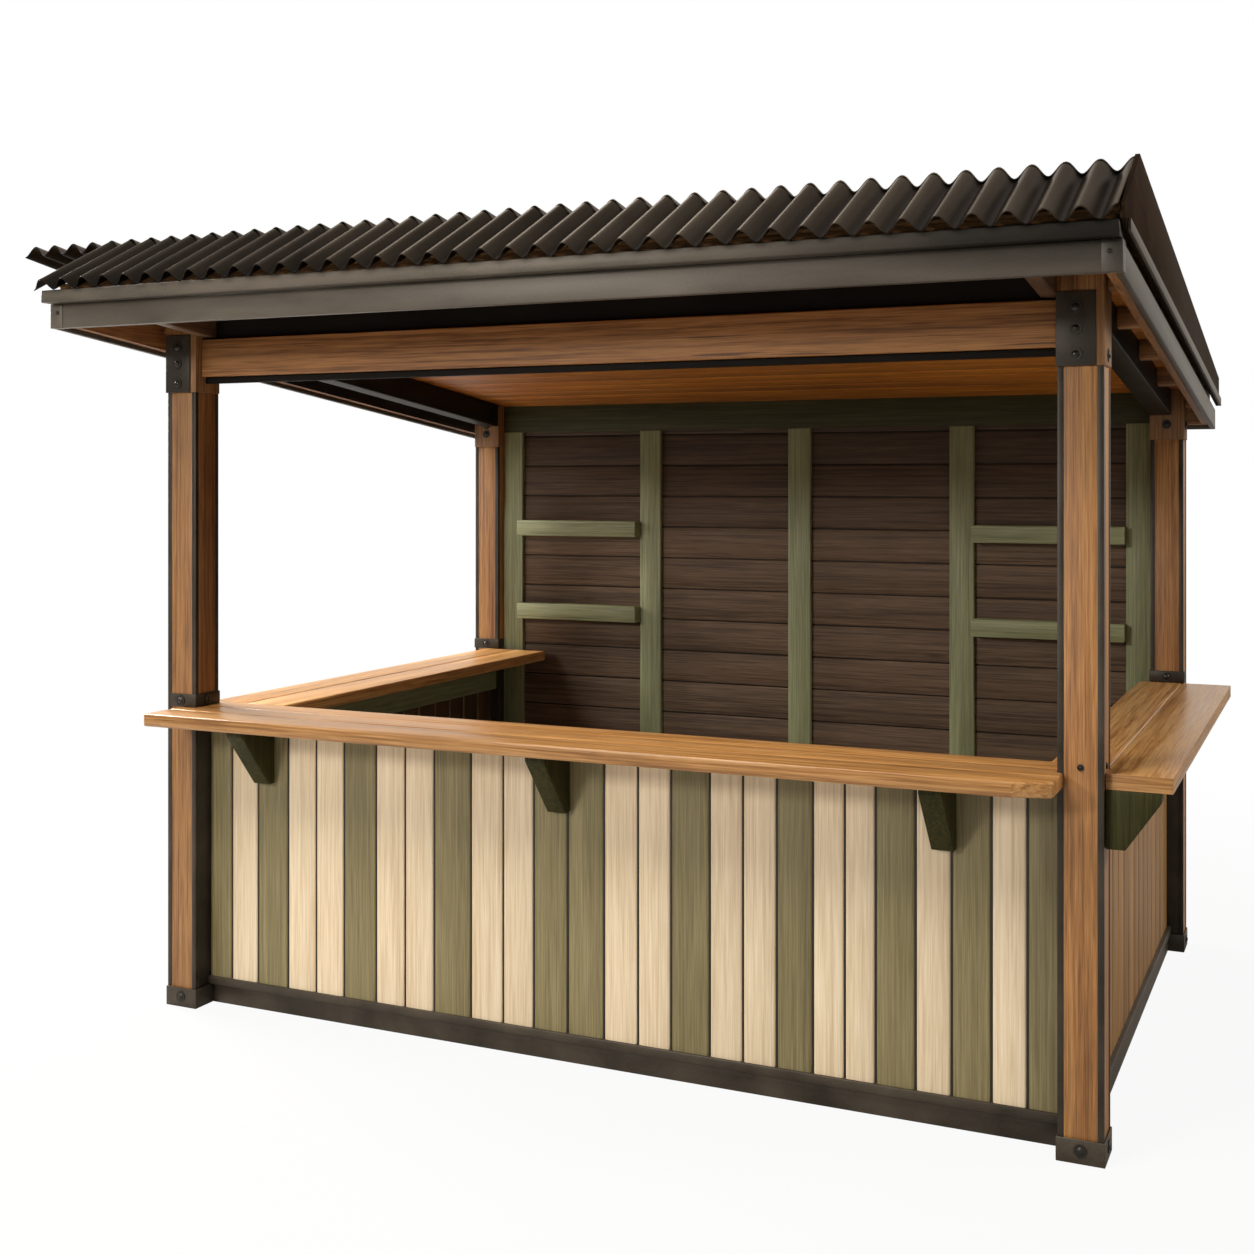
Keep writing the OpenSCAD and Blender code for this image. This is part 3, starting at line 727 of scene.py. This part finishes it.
low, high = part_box("back_wall")
wallBoards = {"seed": 23, "wander": 0.0, "gap": 0.005, "edge": 0.006, "pitch": 0.134,
              "thick": high.y - low.y, "length": high.x - low.x}
count = round((high.z - low.z) / wallBoards["pitch"])
start = Vector((low.x, (low.y + high.y) / 2, low.z))
plankRow("wall_boards", "wall_boards", "back_wall", wallWood, wallBoards, start,
         upZ * (high.z - low.z) / count, count, turnTo(upZ, -upY, upX))

# slopes of the roof frame and of the two sheets
roofFall = math.radians(6.1)
frontFall = math.radians(27.5)
backFall = math.radians(9.3)

deckLow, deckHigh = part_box("ceiling_deck")
downSlope = Vector((0, math.cos(roofFall), -math.sin(roofFall)))
offSlope = Vector((0, math.sin(roofFall), math.cos(roofFall)))
run = (deckHigh.y - deckLow.y) / math.cos(roofFall)
ceilingBoards = {"seed": 31, "wander": 0.0, "gap": 0.004, "edge": 0.004, "pitch": 0.118,
                 "thick": 0.016 * math.cos(roofFall), "length": deckHigh.x - deckLow.x}
count = round(run / ceilingBoards["pitch"])
start = Vector((deckLow.x, deckLow.y, deckHigh.z)) - offSlope * ceilingBoards["thick"] / 2
ceiling = plankRow("ceiling_boards", "roof_timber", "ceiling_deck", ceilingWood, ceilingBoards,
                   start, downSlope * run / count, count, turnTo(downSlope, offSlope, upX))


def deckFront(normal, middle):
    return forward(normal, middle) and middle.y < deckLow.y + 0.01


paintFaces(ceiling, litBattenWood, deckFront)   # painted light: the front edge under the sheet gets the lightened batten wood
print("boards laid")


def sawnPlanks(node, slot, material, look):
    # a counter cut into planks along one axis, each with eased edges
    axis = Vector(look["across"])
    whole = bmesh.new()
    dice = random.Random(look["seed"])
    cuts = look["cuts"]
    toneLayer = whole.verts.layers.float.new("tone")
    for first, last in zip(cuts, cuts[1:]):
        strip = mergedCopy(node)
        for place, side in ((first, -1), (last, 1)):
            if place is None:
                continue
            halved(strip, axis * (place - side * look["gap"] / 2), axis * side, True)
            rim = [edge for edge in strip.edges if edge.is_boundary]
            bmesh.ops.holes_fill(strip, edges=rim, sides=0)
        roundEdges(strip, look["edge"], 3)
        tone = dice.random()
        made = {vert: whole.verts.new(vert.co) for vert in strip.verts}
        for vert in made.values():
            vert[toneLayer] = tone
        for face in strip.faces:
            whole.faces.new([made[vert] for vert in face.verts])
        strip.free()
    return addPiece(newObject(node + "_planks", meshFrom(whole, node, material)), slot, node)


low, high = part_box("front_counter")
depth = high.y - low.y
frontPlanks = {"across": (0, 1, 0), "gap": 0.0015, "edge": 0.006, "seed": 3,
               "cuts": [None, low.y + depth * 0.36, low.y + depth * 0.69, None]}
sawnPlanks("front_counter", "counter_wood", counterWood, frontPlanks)
for side in ("left", "right"):
    low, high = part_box(side + "_counter")
    depth = high.x - low.x
    wingPlanks = {"across": (1, 0, 0), "gap": 0.002, "edge": 0.006, "seed": 4,
                  "cuts": [None, low.x + depth * 0.48, None]}
    wing = sawnPlanks(side + "_counter", "counter_wood", wingWood, wingPlanks)
    paintFaces(wing, counterWood, forward)   # long grain on the front edge
print("counters planked")


def corrugatedTree():
    # a flat grid bent to a cosine wave across its width
    kinds = {"Sheet": "Geometry", "Waves": "Float", "Pitch": "Float", "Phase": "Float",
             "Depth": "Float", "Run": "Float", "Steps": "Int", "Finish": "Material"}
    tree, wire, given = newTree("corrugated sheet", "Sheet", kinds)
    breadth = given["Waves"] * given["Pitch"]
    inputs = {"Size X": breadth, "Size Y": given["Run"], "Vertices X": given["Steps"],
              "Vertices Y": 5}
    grid = wire.node("GeometryNodeMeshGrid", {}, inputs, "Mesh")
    turnCount = (placeX(wire) + breadth * 0.5) / given["Pitch"] + given["Phase"]
    lift = (1.0 - wire.math("COSINE", turnCount * math.tau)) * given["Depth"] * 0.5
    inputs = {"X": breadth * 0.5, "Y": given["Run"] * 0.5, "Z": lift}
    offset = wire.node("ShaderNodeCombineXYZ", {}, inputs)
    marked = stored(wire, grid, "crest", lift / given["Depth"])
    bent = wire.node("GeometryNodeSetPosition", {}, {"Geometry": marked, "Offset": offset})
    return endTree(tree, bent, given["Finish"])


wave = corrugatedTree()
sheetForm = {"pitch": 0.084608, "depth": 0.0352, "thick": 0.003, "steps": 16, "trim": 0.016}
crest = sheetForm["depth"] + sheetForm["thick"]


def waveCount(low, high):
    return round((high.x - low.x) / sheetForm["pitch"] * 2) / 2   # to half a wave


def corrugatedSheet(node, corner, upSlope, run, waves, phase):
    # the sheet starts at its lower corner, a share of a wave on from a trough, and climbs upSlope
    values = {"Waves": waves, "Pitch": sheetForm["pitch"], "Phase": phase,
              "Depth": sheetForm["depth"], "Run": run,
              "Steps": round(waves * sheetForm["steps"]) + 1, "Finish": roofSheet}
    thicken = ("SOLIDIFY", {"thickness": sheetForm["thick"], "offset": 1.0})
    sheet = grown(node + "_wave", bpy.data.meshes.new(node), wave, values, [thicken])
    across = upX if upSlope.y > 0 else -upX
    turned = Matrix((across, upSlope, across.cross(upSlope))).transposed().to_4x4()
    sheet.data.transform(Matrix.Translation(corner) @ turned)
    smoothByAngle(sheet.data, 50)
    return addPiece(sheet, "roof_sheet", node)


low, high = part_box("front_sheet")
upFront = Vector((0, math.cos(frontFall), math.sin(frontFall)))
corner = Vector((low.x, low.y + crest * math.sin(frontFall), low.z))
run = (high.z - low.z - crest * math.cos(frontFall)) / math.sin(frontFall)
corrugatedSheet("front_sheet", corner, upFront, run, waveCount(low, high), 0.0)

low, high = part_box("back_sheet")
upBack = Vector((0, -math.cos(backFall), math.sin(backFall)))
corner = Vector((high.x, high.y - crest * math.sin(backFall), low.z))
run = (high.z - low.z - crest * math.cos(backFall)) / math.sin(backFall) - sheetForm["trim"]
corrugatedSheet("back_sheet", corner, upBack, run, waveCount(low, high), 0.5)
print("sheets bent")


def boltTree():
    # a domed head on a washer, turned to face out of the surface it sits on
    kinds = {"Points": "Geometry", "Radius": "Float", "Finish": "Material"}
    tree, wire, given = newTree("bolt heads", "Bolts", kinds)
    radius = given["Radius"]
    inputs = {"Segments": 16, "Rings": 8, "Radius": radius}
    dome = wire.node("GeometryNodeMeshUVSphere", {}, inputs, "Mesh")
    squash = wire.node("ShaderNodeCombineXYZ", {}, {"X": 1.0, "Y": 1.0, "Z": 0.62})
    dome = wire.node("GeometryNodeTransform", {}, {"Geometry": dome, "Scale": squash})
    inputs = {"Vertices": 20, "Radius": radius * 1.45, "Depth": radius * 0.5}
    washer = wire.node("GeometryNodeMeshCylinder", {}, inputs, "Mesh")
    bolt = wire.node("GeometryNodeJoinGeometry", {}, {"Geometry": [dome, washer]})
    aim = pointValue(wire, "aim", "FLOAT_VECTOR")
    turn = wire.node("FunctionNodeAlignRotationToVector", {"axis": "Z"}, {"Vector": aim})
    inputs = {"Points": given["Points"], "Instance": bolt, "Rotation": turn,
              "Scale": pointValue(wire, "size")}
    laid = wire.node("GeometryNodeInstanceOnPoints", {}, inputs)
    return endTree(tree, laid, given["Finish"])


boltSpots = []
boltForm = {"radius": 0.012, "bareSize": 0.5, "capSize": 0.4, "capSet": 0.03, "capUp": 0.01,
            "plateSet": 0.052}
boltHeight = {"shoe": 0.036, "bare": 1.046, "collar": 1.052, "backHead": 2.022,
              "backHeadTop": 2.062, "frontHead": 2.137, "plate": (2.262, 2.205, 2.137)}
postFace = {"shoe": 0.064, "head": 0.063, "collar": 0.064, "bare": 0.060}   # half widths there


def boltOn(post, part, height, *aims):
    low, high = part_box(post)
    middle = (low + high) / 2
    for aim in aims:
        spot = Vector((middle.x, middle.y, boltHeight[height])) + aim * postFace[part]
        boltSpots.append((spot, aim, boltForm["bareSize"] if part == "bare" else 1.0))


for side, outward in (("left", -upX), ("right", upX)):
    boltOn("post_front_" + side, "shoe", "shoe", -upY, outward)
    boltOn("post_back_" + side, "shoe", "shoe", upY, outward)
    boltOn("post_front_" + side, "head", "frontHead", outward)
    boltOn("post_back_" + side, "head", "backHead", -upY, outward)
    boltOn("post_back_" + side, "collar", "collar", -upY)
boltOn("post_back_left", "head", "backHeadTop", -upY)
boltOn("post_front_left", "collar", "collar", -upY, upX)
boltOn("post_front_right", "bare", "bare", -upY, upX)
low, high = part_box("head_plates")
for x in (low.x + boltForm["plateSet"], high.x - boltForm["plateSet"]):
    for z in boltHeight["plate"]:
        boltSpots.append((Vector((x, low.y, z)), -upY, 1.0))
low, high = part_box("fascia_corners")
z = (low.z + high.z) / 2 + boltForm["capUp"]
for x in (low.x + boltForm["capSet"], high.x - boltForm["capSet"]):
    boltSpots.append((Vector((x, low.y, z)), -upY, boltForm["capSize"]))
spots, aims, sizes = zip(*boltSpots)
boltMesh = pointMesh("bolts", spots, {"aim": ("FLOAT_VECTOR", aims), "size": ("FLOAT", sizes)})
boltValues = {"Radius": boltForm["radius"], "Finish": boltSteel}
boltSet = grown("bolts", boltMesh, boltTree(), boltValues)
smoothByAngle(boltSet.data, 35)
addPiece(boltSet, "dark_steel")
print("bolts set")


def emptied(owner):
    owner.use_nodes = True
    owner.node_tree.nodes.clear()
    return Wire(owner.node_tree)


def cameraRay(wire):
    return wire.node("ShaderNodeLightPath", out="Is Camera Ray")


def setBackdrop():
    # white where the camera or a glossy face sees it, and a dim warm light elsewhere
    world = bpy.data.worlds.new("studio")
    bpy.context.scene.world = world
    wire = emptied(world)
    seen = cameraRay(wire)
    mirrored = wire.node("ShaderNodeLightPath", out="Is Glossy Ray")
    rays = wire.math("MAXIMUM", seen, mirrored * 0.85)
    shade = mixColour(wire, seen, (1.0, 0.94, 0.86, 1.0), (1.0, 1.0, 1.0, 1.0))
    inputs = {"Color": shade, "Strength": rays * 0.88 + 0.12}
    sky = wire.node("ShaderNodeBackground", {}, inputs)
    output = wire.tree.nodes.new("ShaderNodeOutputWorld")
    wire.plug(output.inputs[0], sky)


floorForm = {"half": 60, "near": 2.4, "far": 5.5, "white": 0.92}


def setFloor():
    # a matte floor that shows almost white and keeps a soft shadow near the stall
    material = bpy.data.materials.new("studio floor")
    wire = emptied(material)
    place = objectPlace(wire)
    cloud = noise(wire, place, (0.5, 0.5, 0.5), 2.0)
    pale = mixColour(wire, cloud, (0.50, 0.50, 0.50, 1.0), (0.54, 0.54, 0.54, 1.0))
    matte = wire.node("ShaderNodeBsdfDiffuse", {}, {"Color": pale})
    inputs = {"Color": (1.0, 1.0, 1.0, 1.0), "Strength": 1.0}
    white = wire.node("ShaderNodeEmission", {}, inputs)
    length = wire.node("ShaderNodeVectorMath", {"operation": "LENGTH"}, {0: place}, "Value")
    far = smoothStep(wire, length, floorForm["near"], floorForm["far"])
    share = floorForm["white"] + far * (1.0 - floorForm["white"])
    mixed = wire.node("ShaderNodeMixShader", {}, {0: cameraRay(wire) * share, 1: matte, 2: white})
    output = wire.tree.nodes.new("ShaderNodeOutputMaterial")
    wire.plug(output.inputs[0], mixed)
    half = floorForm["half"]
    corners = [(-half, -half, 0), (half, -half, 0), (half, half, 0), (-half, half, 0)]
    mesh = bpy.data.meshes.new("studio floor")
    mesh.from_pydata(corners, [], [(0, 1, 2, 3)])
    mesh.materials.append(material)
    floor = newObject("studio floor", mesh)


# name, place, size in metres and watts
lamps = [("key", (-1.6, -5.2, 8.2), 3.5, 660), ("left", (-7.5, 1.0, 4.5), 3.0, 1250),
         ("front", (-2.8, -8.7, 3.9), 1.2, 290), ("fill", (6.5, 1.0, 5.0), 2.0, 240),
         ("rim", (-3.4, 4.0, 7.9), 3.0, 150)]


def setLamps():
    # soft key from above the front, a strong light from the left, low front light,
    # fill from the right and a rim light over the back of the roof
    target = Vector((0, 0, 1.2))
    for name, place, size, power in lamps:
        light = bpy.data.lights.new(name, "AREA")
        light.size = size
        light.energy = power
        light.color = (1.0, 0.955, 0.89)
        lamp = newObject(name, light)
        lamp.location = place
        lamp.rotation_euler = (target - Vector(place)).to_track_quat("-Z", "Y").to_euler()


# right of the posts' middle, ahead of the front posts and up; the turn is in degrees
view = {"right": 2.16, "ahead": 4.294, "up": 1.80, "turn": 24.76, "lens": 45.43, "sensor": 36.0,
        "shift": (0.0008, -0.1156)}


def setCamera():
    camera = bpy.data.cameras.new("camera")
    camera.lens = view["lens"]
    camera.sensor_width = view["sensor"]
    camera.shift_x, camera.shift_y = view["shift"]
    eye = newObject("camera", camera)
    low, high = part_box("corner_angles")
    eye.location = ((low.x + high.x) / 2 + view["right"], low.y - view["ahead"], view["up"])
    eye.rotation_euler = (math.radians(90), 0, math.radians(view["turn"]))
    scene = bpy.context.scene
    scene.camera = eye
    scene.view_settings.view_transform = "Standard"


setBackdrop()
setFloor()
setLamps()
setCamera()
print("scene ready")
